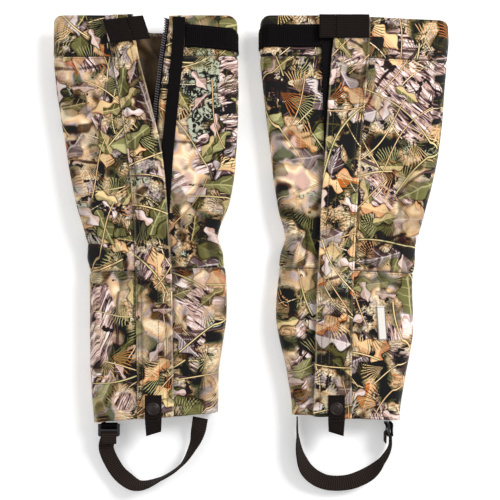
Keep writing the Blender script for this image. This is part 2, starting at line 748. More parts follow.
def clothPiece(name, rows, uvRows, outward, thickness, zones=None, uvName="print", wear=None):
    # a sheet of cloth from rows of points, thickened on its inner side, thickness in millimetres
    columns = len(rows[0])
    points = [point for row in rows for point in row]
    uvs = [uv for row in uvRows for uv in row]
    # a quad in the middle tells which way the faces turn
    r, c = len(rows) // 2, min(2, columns - 2)
    a, b, d = rows[r][c], rows[r][c + 1], rows[r + 1][c] if r + 1 < len(rows) else rows[r - 1][c]
    facing = (b - a).cross(d - a) if r + 1 < len(rows) else (d - a).cross(b - a)
    piece = makeObject(name, points, gridFaces(len(rows), columns, facing.dot(outward) < 0), uvs, uvName)
    if zones is not None:
        paintPoints(piece, "zone", zones)
        paintPoints(piece, "wear", [[(hollow, rim, 0.0, 1.0) for hollow, rim in row] for row in wear])
    applyModifier(piece, "SOLIDIFY", thickness=thickness / 1000, offset=-1.0, use_even_offset=True)
    shadeSmooth(piece.data)
    return piece


def dress(piece, slot, body=None, replaced=(), material=None):
    piece.data.materials.clear()
    piece.data.materials.append(material or materials[slot])
    if body:
        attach(piece, body)
    if replaced:
        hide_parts(*replaced)
    return piece


def sheetArea(rows):
    total = 0.0
    for low, high in zip(rows, rows[1:]):
        for i in range(len(low) - 1):
            total += (low[i + 1] - low[i]).cross(high[i] - low[i]).length
    return total


def heightsBetween(low, high, pitch):
    count = max(2, round((high - low) / pitch))
    return [low + (high - low) * i / count for i in range(count + 1)]


def zoneAt(tube, x, h):
    # open pale patches, bark, dark shade and lichen, placed down the leg
    amounts = dict.fromkeys(("open", "bark", "shade", "lichen"), 0.0)
    for kind, cx, ch, rx, rh, strength in zoneSpots[tube.side]:
        d = ((x - cx) / rx) ** 2 + ((h - ch) / rh) ** 2
        amounts[kind] += strength * math.exp(-d * d)
    return tuple(min(1.0, amount) for amount in amounts.values())


zoneSpots = {
    "left": [
        ("open", -72, 350, 22, 34, 0.6), ("open", -70, 230, 12, 26, 0.8), ("open", -58, 290, 16, 30, 0.4),
        ("open", -40, 150, 20, 16, 0.8), ("open", 40, 110, 16, 22, 0.7), ("open", -45, 14, 18, 12, 0.6),
        ("open", 44, 265, 22, 56, 1.0),
        ("bark", -52, 92, 16, 62, 1.0), ("bark", 88, 350, 12, 60, 0.9), ("bark", 52, 80, 12, 50, 0.5),
        ("bark", 66, 290, 10, 26, 0.4), ("shade", -84, 300, 16, 40, 0.7), ("shade", 20, 200, 14, 40, 0.8),
        ("shade", -30, 180, 16, 30, 0.6),
        ("lichen", 60, 340, 26, 60, 1.0),
    ],
    "right": [
        ("open", 59, 299, 18, 24, 0.9), ("open", 50, 258, 18, 18, 0.7), ("open", 30, 150, 20, 24, 0.7),
        ("open", -40, 150, 22, 20, 0.8), ("open", -62, 100, 20, 30, 0.3), ("open", 20, 20, 20, 16, 0.6),
        ("open", -66, 222, 20, 24, 0.8),
        ("bark", -70, 365, 34, 52, 1.0), ("bark", -32, 240, 12, 26, 0.8), ("bark", 45, 60, 14, 40, 0.5),
        ("shade", 14, 320, 8, 40, 0.9), ("shade", 64, 368, 26, 30, 1.0), ("shade", -60, 270, 20, 20, 0.6),
    ],
}

tubes = {side: Gaiter(side) for side in ("left", "right")}
panelPitch = {"height": 2.6, "front": 2.8, "arc": 10, "back": 4.0}
printShift = {
    "left_lower_panel_outer": (0.13, 0.41, 0.4), "left_lower_panel_inner": (0.72, 0.08, 2.1),
    "left_upper_panel_outer": (0.35, 0.91, -0.5), "left_upper_panel_inner": (1.21, 0.52, 1.2),
    "right_lower_panel_outer": (1.63, 0.27, 0.2), "right_lower_panel_inner": (0.94, 1.36, -0.7),
    "right_upper_panel_outer": (0.48, 1.55, 0.9), "right_upper_panel_inner": (2.02, 0.77, 0.1),
    "left_cuff_band": (1.47, 1.83, 0.0), "right_cuff_band": (2.33, 1.12, 1.6),
    "left_storm_flap": (0.21, 2.27, 0.6), "right_storm_flap": (1.78, 2.45, -1.1),
}


def printUV(name, across, up):
    shiftX, shiftY, turn = printShift[name]
    x, y = across / 1000, up / 1000
    return (x * math.cos(turn) - y * math.sin(turn) + shiftX, x * math.sin(turn) + y * math.cos(turn) + shiftY)


def declareSheet(rows, length):
    # length in millimetres
    area, length = sheetArea(rows), length / 1000
    area / length
    area * 0.999


def tubeSheet(tube, name, heights, signs, depth, length):
    # one printed panel: one half of the tube's section, or both halves joined behind
    rows, uvRows, zones, wear = [], [], [], []
    widest = {sign: max(abs(tube.edge(sign, h) - tube.frontLine(sign, h)) for h in heights) for sign in signs}
    deepest = {sign: max(abs(tube.edge(sign, h)) for h in heights) for sign in signs}
    for h in heights:
        row, uvRow, zoneRow, wearRow = [], [], [], []
        for sign in signs:
            steps = (int(widest[sign] / panelPitch["front"]), panelPitch["arc"],
                     int(deepest[sign] / panelPitch["back"]))
            backX = sign * 0.1 if len(signs) == 1 else 0.0
            points, q = tube.halfRow(sign, h, tube.frontLine(sign, h), depth, steps, backX)
            xs = [tube.edge(sign, h) - sign * distance for distance in q]
            uv = [printUV(name, x, h) for x in xs]
            zone = [zoneAt(tube, x, h) for x in xs]
            worn = [(tube.wearAt(x, h) if distance > 0 else 0.0, 0.0) for x, distance in zip(xs, q)]
            if sign > 0 and len(signs) == 2:
                points, uv, zone, worn = points[::-1][1:], uv[::-1][1:], zone[::-1][1:], worn[::-1][1:]
            row += points
            uvRow += uv
            zoneRow += zone
            wearRow += worn
        rows.append(row)
        uvRows.append(uvRow)
        zones.append(zoneRow)
        wear.append(wearRow)
    piece = clothPiece(name + "_cloth", rows, uvRows, up, clothThickness, zones, wear=wear)
    dress(piece, "camo_fabric", tube.body(), [name])
    declareSheet(rows, length)
    return rows


panelRows = {}
for side, tube in tubes.items():
    for word, low, high in (("lower_panel", 0, ankleLow - 0.2), ("upper_panel", ankleLow + 0.2, cuffSeam - 0.2)):
        heights = heightsBetween(low, high, panelPitch["height"])
        for sign, half in ((-1, "outer"), (1, "inner")):
            name = f"{side}_{word}_{half}"
            panelRows[name] = tubeSheet(tube, name, heights, (sign,), 0.0, heights[-1] - heights[0])
    heights = heightsBetween(cuffSeam + 0.2, cuffTop, panelPitch["height"])
    tubeSheet(tube, f"{side}_cuff_band", heights, (-1, 1), -0.2, cut["cuff"])
print("shell sewn")


# inside: lining and elastic

insides = {
    "lining": {"low": ankleLow + 32.4, "high": cuffTop - 8, "thickness": 0.6, "slot": "lining_fabric",
               "uv": "print", "held": "laid"},
    "ankle_elastic": {"low": ankleLow, "high": ankleLow + 31.8, "thickness": 1.0, "slot": "elastic",
                      "uv": "weave", "held": "gathered"},
}


def slack(tube, sign, h, distance):
    # the loose lining's folds, on the back of the tube only
    x = abs(tube.edge(sign, h)) + distance
    ridge = max(0.0, 1 - abs(tube.wave(x * sign * 0.035 + h * 0.012, h * 0.022, 31)) * 3.0)
    lift = ridge * 5.5 + 3.0 * max(0.0, tube.wave(x * sign * 0.02, h * 0.03, 33) + 0.2)
    return Vector((0, 0, lift * smoothstep(-distance, 14, 30) / 1000))


for side, tube in tubes.items():
    for word, inside in insides.items():
        rows, uvRows = [], []
        for h in heightsBetween(inside["low"], inside["high"], 3.2):
            row, uvRow = [], []
            for sign in (-1, 1):
                points, q = tube.halfRow(sign, h, tube.frontLine(sign, h) + sign * 9.0, 2.0, (26, 8, 24))
                if word == "lining":
                    points = [point + slack(tube, sign, h, distance) if distance < -14 else point
                              for point, distance in zip(points, q)]
                uv = [((tube.edge(sign, h) - sign * distance) / 1000, h / 1000) for distance in q]
                row += points[::-1][1:] if sign > 0 else points
                uvRow += uv[::-1][1:] if sign > 0 else uv
            rows.append(row)
            uvRows.append(uvRow)
        name = f"{side}_{word}"
        piece = clothPiece(name + "_cloth", rows, uvRows, up, inside["thickness"], None, inside["uv"])
        dress(piece, inside["slot"], tube.body(), [name])
        declareSheet(rows, inside["high"] - inside["low"])
print("lining and elastic in")


# strips, tapes and zips

def ribbonRows(left, right, heights, columns, z, tube, bulge=0.0):
    # rows of points on the front between two lines, at a height given by z(x, h)
    rows = []
    for h in heights:
        a, b = left(h), right(h)
        row = []
        for i in range(columns + 1):
            share = i / columns
            x = a + (b - a) * share
            row.append(tube.place(x, h, z(x, h) + bulge * (1 - (2 * share - 1) ** 4)))
        rows.append(row)
    return rows


def stripPiece(name, tube, left, right, heights, columns, z, thickness, slot, body, replaced, bulge=0.0):
    rows = ribbonRows(left, right, heights, columns, z, tube, bulge)
    width = right(heights[0]) - left(heights[0])
    uvRows = [[(width * i / columns / 1000, h / 1000) for i in range(columns + 1)] for h in heights]
    piece = clothPiece(name, rows, uvRows, up, thickness, None, "weave")
    dress(piece, slot, tube.body(body), replaced)
    declareSheet(rows, heights[-1] - heights[0])


zipHeights = heightsBetween(27, cuffTop - 2, 3.0)
coil = {"pitch": 2.7, "shank": 0.6, "head": 0.74, "length": 3.4, "openLength": 4.3, "height": 23.3, "reach": 3.3,
        "lean": 0.22, "cordRadius": 0.55, "cordSides": 8, "cordIn": 1.9, "tapeHeight": 22.1, "tapeWidth": 12.4}


def capsule(radius, headRadius, length, sides=8, rings=3):
    # a closed rod along +x from 0 to length, thicker at its far end; returns points and faces
    profile = []
    for i in range(1, rings + 1):
        angle = math.pi / 2 * i / rings
        profile.append((radius - radius * math.cos(angle), radius * math.sin(angle)))
    neck = length - 2 * headRadius
    profile.append((neck, radius))
    for i in range(1, rings + 1):
        angle = math.pi * i / (rings + 1)
        profile.append((length - headRadius - headRadius * math.cos(angle), headRadius * math.sin(angle)))
    points = [Vector((0, 0, 0))]
    for x, r in profile:
        points += [Vector((x, r * math.cos(2 * math.pi * k / sides), r * math.sin(2 * math.pi * k / sides)))
                   for k in range(sides)]
    points.append(Vector((length, 0, 0)))
    last, start = len(points) - 1, 1 + (len(profile) - 1) * sides
    faces = [(0, 1 + (k + 1) % sides, 1 + k) for k in range(sides)]
    for j in range(len(profile) - 1):
        for k in range(sides):
            a, b = 1 + j * sides + k, 1 + j * sides + (k + 1) % sides
            faces.append((a, b, b + sides, a + sides))
    faces += [(start + k, start + (k + 1) % sides, last) for k in range(sides)]
    return points, faces


def repeated(name, shape, frames):
    # one closed shape copied onto many frames, each (origin, along, across, up)
    points, faces = shape
    allPoints, allFaces = [], []
    for origin, along, across, up in frames:
        base = len(allPoints)
        turned = along.cross(across).dot(up) < 0
        for point in points:
            allPoints.append(origin + along * point.x + across * point.y + up * point.z)
        for face in faces:
            placed = tuple(base + index for index in face)
            allFaces.append(placed[::-1] if turned else placed)
    return makeObject(name, allPoints, allFaces)


def cordAlong(name, path, radius, sides):
    # a straight-ended round cord on a path that runs up the front
    ring = [2 * math.pi * k / sides for k in range(sides)]
    points = [point + Vector((radius * math.cos(angle), 0, radius * math.sin(angle))) / 1000
              for point in path for angle in ring]
    faces = [((j + 1) * sides + k, (j + 1) * sides + (k + 1) % sides, j * sides + (k + 1) % sides, j * sides + k)
             for j in range(len(path) - 1) for k in range(sides)]
    faces += [tuple(range(sides)), tuple((len(path) - 1) * sides + k for k in range(sides))[::-1]]
    return makeObject(name, points, faces, [(0.0, point.y) for point in points], "weave")


for side, tube in tubes.items():
    reach = coil["openLength"] if side == "left" else coil["length"]
    toothShape = capsule(coil["shank"] / 1000, coil["head"] / 1000, reach / 1000)
    for sign, half in ((-1, "outer"), (1, "inner")):
        coilLine = tube.coilOuter if sign < 0 else tube.coilInner

        def chain(h, line=coilLine, sign=sign):
            return line(h) - sign * 0.6

        def near(h, chain=chain, sign=sign):
            return chain(h) + sign * 0.6

        def far(h, chain=chain, sign=sign):
            return chain(h) + sign * coil["tapeWidth"]

        left, right = (far, near) if sign < 0 else (near, far)
        stripPiece(f"{side}_tape_{half}", tube, left, right, zipHeights, 5, lambda x, h: coil["tapeHeight"],
                   0.7, "zip_tape", "gaiter", [f"{side}_zip_tape_{half}"])
        frames = []
        h = 28.0 + (0.5 * coil["pitch"] if sign > 0 else 0.0)
        while h < cuffTop - 3:
            low, middle, high = (tube.place(chain(at), at, coil["height"]) for at in (h - 1, h, h + 1))
            along = (high - low).normalized()
            outward = Vector((along.y, -along.x, 0)) * (-tube.mirror * sign)
            tilt = (outward + along * coil["lean"]).normalized()
            frames.append((middle - outward * (coil["reach"] / 1000), tilt, up.cross(tilt), up))
            h += coil["pitch"]
        teeth = repeated(f"{side}_coil_{half}", toothShape, frames)
        dress(teeth, "zip_coil", tube.body(), [f"{side}_zip_coil_{half}"])
        path = [tube.place(chain(h) + sign * coil["cordIn"], h, coil["height"])
                for h in heightsBetween(27.5, cuffTop - 2.5, 2.5)]
        core = cordAlong(f"{side}_coilCord_{half}", path, coil["cordRadius"], coil["cordSides"])
        dress(core, "zip_tape", tube.body())
print("zips in")


flapCut = {"foot": 25.4, "step": 3.9, "columns": 34, "sewnStitch": 6.5, "freeStitch": 7.0, "edgeStitch": 2.2,
           "hookStitch": 15.5, "hemStitch": 12.0, "sewnRim": 0.25, "freeRim": 0.7}


def bell(distance, width):
    return math.exp(-(distance / width) ** 2)


def flapBase(tube, x, h):
    # the flap's top face: sewn flat, then stepping up over the zip and the strips
    sewn, free = tube.flapSewn(h), tube.flapFree(h)
    z = flapCut["foot"] + flapCut["step"] * smoothstep(x, sewn + 3, sewn + 10)
    share = (x - sewn) / (free - sewn)
    peel = tube.lie["peel"] * smoothstep(h, cuffTop - 150, cuffTop) ** 2 * smoothstep(share, 0.35, 1.0)
    ripple = 0.9 * tube.wave(x * 0.035, h * 0.02, 51) + 0.35 * tube.wave(x * 0.1, h * 0.05, 53)
    ripple += 0.5 * bell(h - 178, 26) * tube.wave(x * 0.05, h * 0.16, 55)
    edge = smoothstep(x, sewn + 2, sewn + 8)
    roll = -0.5 * math.exp(-(free - x) / 1.0) - 0.5 * math.exp(-(x - sewn) / 0.8)
    seam = -0.45 * bell(x - sewn - flapCut["sewnStitch"], 0.9) - 0.3 * bell(free - flapCut["freeStitch"] - x, 0.9)
    hem = -0.3 * bell(h - flapCut["hemStitch"], 0.9) - 0.3 * bell(cuffTop - flapCut["hemStitch"] - h, 0.9)
    top = -0.5 * math.exp(-(cuffTop - h) / 1.2) - 0.5 * math.exp(-h / 1.2)
    return z + peel + max(-0.5, ripple * edge * 0.8) + roll + seam + hem + top


stitch = {"pitch": 3.3, "length": 2.5, "radius": 0.27}


def stitchRow(path, normals, pitch=stitch["pitch"], length=stitch["length"], radius=stitch["radius"]):
    # frames for stitches laid along a path of points
    frames = []
    rest = pitch / 2000
    for a, b, n in zip(path, path[1:], normals):
        span = (b - a).length
        if span < 1e-9:
            continue
        along = (b - a) / span
        place = rest
        while place < span:
            across = n.cross(along).normalized()
            frames.append((a + along * (place - length / 2000) + n * (radius * 0.25 / 1000), along, across, n))
            place += pitch / 1000
        rest = place - span
    return frames


stitchShape = capsule(stitch["radius"] / 1000, stitch["radius"] / 1000, stitch["length"] / 1000, 6, 2)


def sewOn(name, rowsOfFrames, body, material=None, blend=None):
    frames = [frame for row in rowsOfFrames for frame in row]
    piece = repeated(name, stitchShape, frames)
    uv = piece.data.uv_layers.new(name="weave")
    corners = np.empty(len(piece.data.loops), dtype=np.int64)
    piece.data.loops.foreach_get("vertex_index", corners)
    points = np.empty(len(piece.data.vertices) * 3)
    piece.data.vertices.foreach_get("co", points)
    uv.data.foreach_set("uv", points.reshape(-1, 3)[corners][:, :2].astype(np.float32).ravel())
    piece.data.materials.append(material or tanThread)
    if blend:
        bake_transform(piece)
    else:
        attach(piece, body)
    return piece


def frontStitches(tube, line, low, high, z, pitch=2.0):
    path = [tube.place(line(h), h, z(line(h), h)) for h in heightsBetween(low, high, pitch)]
    return stitchRow(path, [up] * len(path))


flapBlend = {}
for side, tube in tubes.items():
    joint = next(j for j in frame["joints"] if j["name"] == f"{side}_flap_open")
    pivot = Vector(joint["pos_m"])
    axis = Vector(joint["axis"]).normalized()
    toward = Vector((axis.y, -axis.x, 0))
    if toward.x * tube.mirror < 0:
        toward = -toward
    flapBlend[side] = (tube.body(), tube.body("flap"), pivot + toward * 0.002, pivot + toward * 0.009)

    heights = heightsBetween(0, cuffTop, 2.4)
    columns = flapCut["columns"]
    rows, uvRows, zones, wear = [], [], [], []
    for h in heights:
        sewn, free = tube.flapSewn(h), tube.flapFree(h)
        xs = [sewn + (free - sewn) * i / columns for i in range(columns + 1)]
        rows.append([tube.place(x, h, flapBase(tube, x, h)) for x in xs])
        uvRows.append([printUV(f"{side}_storm_flap", x, h) for x in xs])
        zones.append([zoneAt(tube, x, h) for x in xs])
        wear.append([(0.5 * bell(x - sewn - flapCut["sewnStitch"], 0.9) +
                      0.4 * bell(free - flapCut["freeStitch"] - x, 0.9),
                      max(flapCut["sewnRim"] * bell(x - sewn - 0.8, 0.7),
                          flapCut["freeRim"] * bell(free - x - 0.8, 0.7)))
                     for x in xs])
    flap = clothPiece(f"{side}_flapCloth", rows, uvRows, up, 1.0, zones, wear=wear)
    dress(flap, "camo_fabric", None, [f"{side}_storm_flap"])
    declareSheet(rows, cuffTop)
    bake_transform(flap)

    def top(x, h, tube=tube):
        return flapBase(tube, x, h)

    sewOn(f"{side}_flapStitches", [
        frontStitches(tube, lambda h: tube.flapSewn(h) + flapCut["sewnStitch"], 3, cuffTop - 3, top),
        frontStitches(tube, lambda h: tube.flapSewn(h) + flapCut["edgeStitch"], 3, cuffTop - 3, top),
        frontStitches(tube, lambda h: tube.flapFree(h) - flapCut["freeStitch"], 3, cuffTop - 3, top),
        frontStitches(tube, lambda h: tube.flapFree(h) - flapCut["hookStitch"], 28, cuffTop - 170, top),
    ], None, blend=flapBlend[side])
    stripPiece(f"{side}_hookTape", tube, lambda h: tube.flapFree(h) - 13.5, lambda h: tube.flapFree(h) - 1,
               heightsBetween(30, ankleHigh + 0.6 * cut["upper"], 3.0), 6, lambda x, h: top(x, h) - 1.9, 1.0,
               "hook_and_loop", "flap", [f"{side}_flap_hook_strip"])
    stripPiece(f"{side}_loopTape", tube, tube.stripLeft, tube.stripRight, zipHeights, 8,
               lambda x, h: 25.5 + 0.12 * tube.wave(x * 0.03, h * 0.025, 61), 1.1,
               "hook_and_loop", "gaiter", [f"{side}_loop_strip"], 0.2)
print("flaps and strips in")


# the cuff webbing, the tabs and the label

def patchPiece(name, replaced, body, corners, across, along, z, thickness, cutLength, slot, material=None):
    # a patch from four corners in the plane (x, y in millimetres); z gives its top face
    a, b, c, d = [Vector(corner) for corner in corners]
    rows, uvRows = [], []
    width, length = (b - a).length, (d - a).length
    for j in range(along + 1):
        v = j / along
        row, uvRow = [], []
        for i in range(across + 1):
            u = i / across
            point = a * (1 - u) * (1 - v) + b * u * (1 - v) + c * u * v + d * (1 - u) * v
            edge = min(u * width, (1 - u) * width, v * length, (1 - v) * length)
            row.append(Vector((point.x, point.y, z(point.x, point.y, u, v) - 0.35 * math.exp(-edge / 0.5))) / 1000)
            uvRow.append((u * width / 1000, v * length / 1000))
        rows.append(row)
        uvRows.append(uvRow)
    piece = clothPiece(name, rows, uvRows, up, thickness, None, "weave")
    dress(piece, slot, body, [replaced], material)
    declareSheet(rows, cutLength)


def boxStitches(corners, inset, z, cross=True):
    # a stitched rectangle with a cross in it
    a, b, c, d = [Vector(corner) for corner in corners]
    centre = (a + b + c + d) / 4
    inner = [corner + (centre - corner).normalized() * inset for corner in (a, b, c, d)]
    lines = list(zip(inner, inner[1:] + inner[:1]))
    if cross:
        lines += [(inner[0], inner[2]), (inner[1], inner[3])]
    rows = []
    for start, end in lines:
        steps = max(2, int((end - start).length / 2))
        flat = [start + (end - start) * i / steps for i in range(steps + 1)]
        path = [Vector((point.x, point.y, z(point.x, point.y))) / 1000 for point in flat]
        rows.append(stitchRow(path, [up] * len(path), 2.6, 1.9, 0.24))
    return rows


def toLocal(tube, x, y):
    return (x - tube.zipX) * tube.mirror, y - tube.hemY


def rectangle(at, left, right, low, high):
    return [at(left, low), at(right, low), at(right, high), at(left, high)]


patches = {
    "left": {"tab": (-22.8, 426.5, 44.5, 19, 5.4, -6), "label": None},
    "right": {"tab": (-2.4, 430, 55, 18, 0, 0), "label": (-44, 104.3, -4)},
}
cuffWeb = {"belowTop": 10, "width": 25, "drop": 5.0, "behind": 45, "thickness": 1.2}
cuffTab = {"height": 26, "thickness": 1.3, "stitchIn": 1.5, "boxEnd": 15}
snapTab = {"x": 6.2, "h": 11.0, "half": 9.25, "low": -0.74, "high": 26, "top": 31.15, "thickness": 1.4}
hookTab = {"high": -0.745, "corners": ((-7.75, -19), (8.75, -14)), "thickness": 1.4}
labelCut = {"half": 5, "halfLength": 19, "thickness": 0.5}

for side, tube in tubes.items():
    body, flapBody = tube.body(), tube.body("flap")

    # webbing sewn on the cuff, round the inner side to the back
    webHigh = cuffTop - cuffWeb["belowTop"]
    drop = cuffWeb["drop"] if side == "left" else 0.0
    rows, uvRows = [], []
    for h in heightsBetween(webHigh - cuffWeb["width"], webHigh, 2.5):
        points, q = tube.halfRow(1, h, tube.stripRight(h) + 0.4, -1.5, (34, 12, 22),
                                 tube.innerEdge(h) - cuffWeb["behind"])
        rows.append([point - Vector((0, drop / 1000 * smoothstep(-distance, -60, 10), 0))
                     for point, distance in zip(points, q)])
        uvRows.append([(h / 1000, (abs(tube.innerEdge(h)) - distance) / 1000) for distance in q])
    web = clothPiece(f"{side}_cuffWeb", rows, uvRows, up, cuffWeb["thickness"], None, "weave")
    dress(web, "black_webbing", body, [f"{side}_cuff_webbing"])
    declareSheet(rows, cuffWeb["width"])
    webStitches = []
    for index in (1, len(rows) - 2):
        path = [point + Vector((0, 0, 0.05)) / 1000 for point in rows[index]]
        normals = [(b - a).normalized().cross(Vector((0, 1, 0))).normalized() for a, b in zip(path, path[1:])]
        if normals[2].z < 0:
            normals = [-normal for normal in normals]
        webStitches.append(stitchRow(path, normals, 3.0, 2.2, 0.25))
    sewOn(f"{side}_cuffWebStitches", webStitches, body, darkThread)

    # the cuff tab on the flap, and its loose end
    cx, cy, length, loose, lean, skew = patches[side]["tab"]
    lean = math.radians(lean)
    half = cuffTab["height"] / 2

    def tabPoint(distance, rise, tube=tube):
        across = distance + skew * rise / cuffTab["height"]
        x = cx + across * math.cos(lean) - rise * math.sin(lean)
        h = cy + across * math.sin(lean) + rise * math.cos(lean)
        return (tube.zipX + tube.mirror * x, tube.hemY + h)

    def tabZ(x, y, u=0.5, v=0.5, tube=tube):
        # follows the flap's face, no lower than the frame's tab
        localX, h = toLocal(tube, x, y)
        sewn, free = tube.flapSewn(h), tube.flapFree(h)
        under = flapBase(tube, min(max(localX, sewn + 11), free - 2), h)
        beyond = max(0.0, localX - free)
        return max(under, 29.3) + 1.5 + beyond * 0.02 + 0.25 * math.sin(localX * 0.3 + h * 0.1)

    fold = length / 2 - loose
    inset = cuffTab["stitchIn"]
    for word, low, high, columns, on in (("cuff_tab", -length / 2, fold + 0.2, 16, flapBody),
                                         ("cuff_tab_end", fold + 0.3, length / 2, 14, tube.body("tab_end"))):
        corners = rectangle(tabPoint, low, high, -half, half)
        patchPiece(f"{side}_{word}_cloth", f"{side}_{word}", on, corners, columns, 18, tabZ, cuffTab["thickness"],
                   cuffTab["height"], "black_webbing", tabWebbing)
        if word == "cuff_tab":
            box = rectangle(tabPoint, low + inset, low + cuffTab["boxEnd"], inset - half, half - inset)
            sewOn(f"{side}_cuffTabStitches", boxStitches(box, 0.8, tabZ), on, darkThread)
        else:
            box = rectangle(tabPoint, low + 1, high - inset, inset - half, half - inset)
            sewOn(f"{side}_tabEndStitches", boxStitches(box, 0.6, tabZ, False), on, darkThread)

    # the snap tab up the flap, and the hook tab below the hem
    def toRow(x, h, tube=tube):
        return (tube.zipX + tube.mirror * x, tube.hemY + h)

    def snapZ(x, y, u=0.5, v=0.5, tube=tube):
        localX, h = toLocal(tube, x, y)
        ring = math.hypot(localX - snapTab["x"], h - snapTab["h"])
        return snapTab["top"] + 0.25 * tube.wave(localX * 0.08, h * 0.08, 71) * smoothstep(ring, 7, 10)

    snapX, half = snapTab["x"], snapTab["half"]
    patchPiece(f"{side}_snapTabCloth", f"{side}_snap_tab", flapBody,
               rectangle(toRow, snapX - half, snapX + half, snapTab["low"], snapTab["high"]), 14, 20, snapZ,
               snapTab["thickness"], 26.4, "black_webbing", tabWebbing)
    box = rectangle(toRow, snapX - 8.2, snapX + 8.2, 20.2, 25)
    sewOn(f"{side}_snapTabStitches", boxStitches(box, 0.4, snapZ, False), flapBody, darkThread)
    top = hookTab["high"]
    corners = [toRow(snapX + x, h) for x, h in (*hookTab["corners"], (half, top), (-half, top))]
    patchPiece(f"{side}_hookTabCloth", f"{side}_hook_tab", tube.body("hook_tab"), corners, 14, 14, snapZ,
               hookTab["thickness"], 16.5, "black_webbing", tabWebbing)
    box = [toRow(snapX + x, h) for x, h in ((-6.6, -16.6), (7.4, -12.4), (7.9, -4), (-7.9, -4))]
    sewOn(f"{side}_hookTabStitches", boxStitches(box, 0.5, snapZ, False), tube.body("hook_tab"),
          darkThread)

    if patches[side]["label"]:
        lx, lh, turn = patches[side]["label"]
        turn = math.radians(turn)

        def labelPoint(u, v):
            x = u * math.cos(turn) - v * math.sin(turn)
            h = u * math.sin(turn) + v * math.cos(turn)
            return toRow(lx + x, lh + h)

        def labelZ(x, y, u=0.5, v=0.5, tube=tube):
            return max(24.2, tube.frontZ(*toLocal(tube, x, y)) + 0.15) + 0.6

        corners = rectangle(labelPoint, -labelCut["half"], labelCut["half"], -labelCut["halfLength"],
                            labelCut["halfLength"])
        patchPiece(f"{side}_labelCloth", f"{side}_woven_label", body, corners, 12, 30, labelZ,
                   labelCut["thickness"], 2 * labelCut["halfLength"], "label")
        sewOn(f"{side}_labelStitches", boxStitches(corners, 1.3, labelZ, False), body)
print("tabs and webbing in")


# the stirrup strap

straps = {
    "left": {"lock": (-44, -8.8, 15.5, 0), "route": [
        (-47.5, -34, 11.5, 0), (-41.5, -51, 9.5, 0), (-30.5, -66.5, 8.5, 5), (-12, -77, 9.5, 60),
        (12.7, -69.5, 10, 88), (35, -54.5, 10.5, 88), (49, -32, 12, 60), (55, -14, 14, 15), (57.2, -1, 15, 0)]},
    "right": {"lock": (-52, -8, 12, 90), "route": [
        (-54, -34, 12, 88), (-45, -50, 11.5, 75), (-31, -64, 10, 35), (-8, -73.5, 9, 0), (18, -73, 9, 0),
        (36, -62, 9.5, 25), (45, -43, 11, 60), (48, -20, 12, 85), (48.4, -1, 12, 88)]},
}
strapWidth, strapThickness, strapTail, lockBar, lockSlot = 17.0, 1.5, 9, 2.4, 3.4
lockPitch = lockBar + lockSlot
loopThickness = 1.1
barClearance = lockBar / math.sqrt(2) + 0.3


def webRow(tube, columns, width, run, at):
    # points across a web and their weave coordinates; at gives the place for an offset from the middle
    offsets = [(i / columns - 0.5) * width for i in range(columns + 1)]
    return [tube.world(*at(offset)) for offset in offsets], [(offset / 1000, run / 1000) for offset in offsets]


def webPiece(tube, name, web, facing, thickness, replaced=(), material=None):
    # a web from its rows, on the stirrup; facing is the way its face looks
    rows, uvRows = zip(*web)
    outward = Vector((facing.x * tube.mirror, facing.y, facing.z))
    piece = clothPiece(name, rows, uvRows, outward, thickness, None, "weave")
    return dress(piece, "black_webbing", tube.body("stirrup"), replaced, material), rows


def lockMount(side):
    # the ladder lock's place and turn
    x, y, z, turn = straps[side]["lock"]
    return Vector((x, y, z)), Matrix.Rotation(math.radians(turn), 3, "Y"), turn


def splinePoint(points, t):
    # a centripetal curve through the points, t from 0 to 1
    place = t * (len(points) - 1)
    k = min(len(points) - 2, int(place))
    u = place - k
    p1, p2 = points[k], points[k + 1]
    p0 = points[k - 1] if k > 0 else p1 * 2 - p2
    p3 = points[k + 2] if k + 2 < len(points) else p2 * 2 - p1
    d0, d1, d2 = [(b - a).length ** 0.5 for a, b in ((p0, p1), (p1, p2), (p2, p3))]
    t1 = ((p1 - p0) / d0 - (p2 - p0) / (d0 + d1) + (p2 - p1) / d1) * d1
    t2 = ((p2 - p1) / d1 - (p3 - p1) / (d1 + d2) + (p3 - p2) / d2) * d1
    c2 = p1 * -3 + p2 * 3 - t1 * 2 - t2
    c3 = p1 * 2 - p2 * 2 + t1 + t2
    return p1 + t1 * u + c2 * (u * u) + c3 * (u * u * u)


